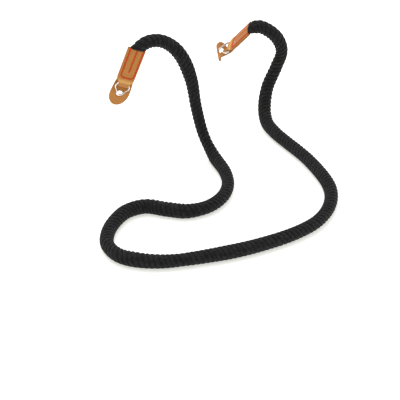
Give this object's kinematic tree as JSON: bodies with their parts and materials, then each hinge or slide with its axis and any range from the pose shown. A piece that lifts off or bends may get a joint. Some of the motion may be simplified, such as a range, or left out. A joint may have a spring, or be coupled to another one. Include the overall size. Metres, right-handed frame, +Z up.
{
  "type": "rope camera strap",
  "caption": "Soft ribbed rope neck strap, lying in an open loop, with leather tabs sewn round its ends and split rings and leather guards to hang a camera on.",
  "frame": {"origin": "half way between the eyes of the two split rings, which what is carried holds up", "axes": "+X from the left eye to the right eye, +Z up; the loop lies on a level surface 60 mm below the eyes, towards -Y"},
  "size_m": [0.3201, 0.2589, 0.125],
  "materials": {
    "cotton_rope": "matt ribbed cotton",
    "tan_leather": "smooth waxed tan",
    "chromed_steel": "polished"
  },
  "bodies": {
    "root": {"rope": "cotton_rope", "tab_left": "tan_leather", "tab_right": "tan_leather", "guard_left": "tan_leather", "guard_right": "tan_leather", "ring_left": "chromed_steel", "ring_right": "chromed_steel"}
  },
  "joints": []
}
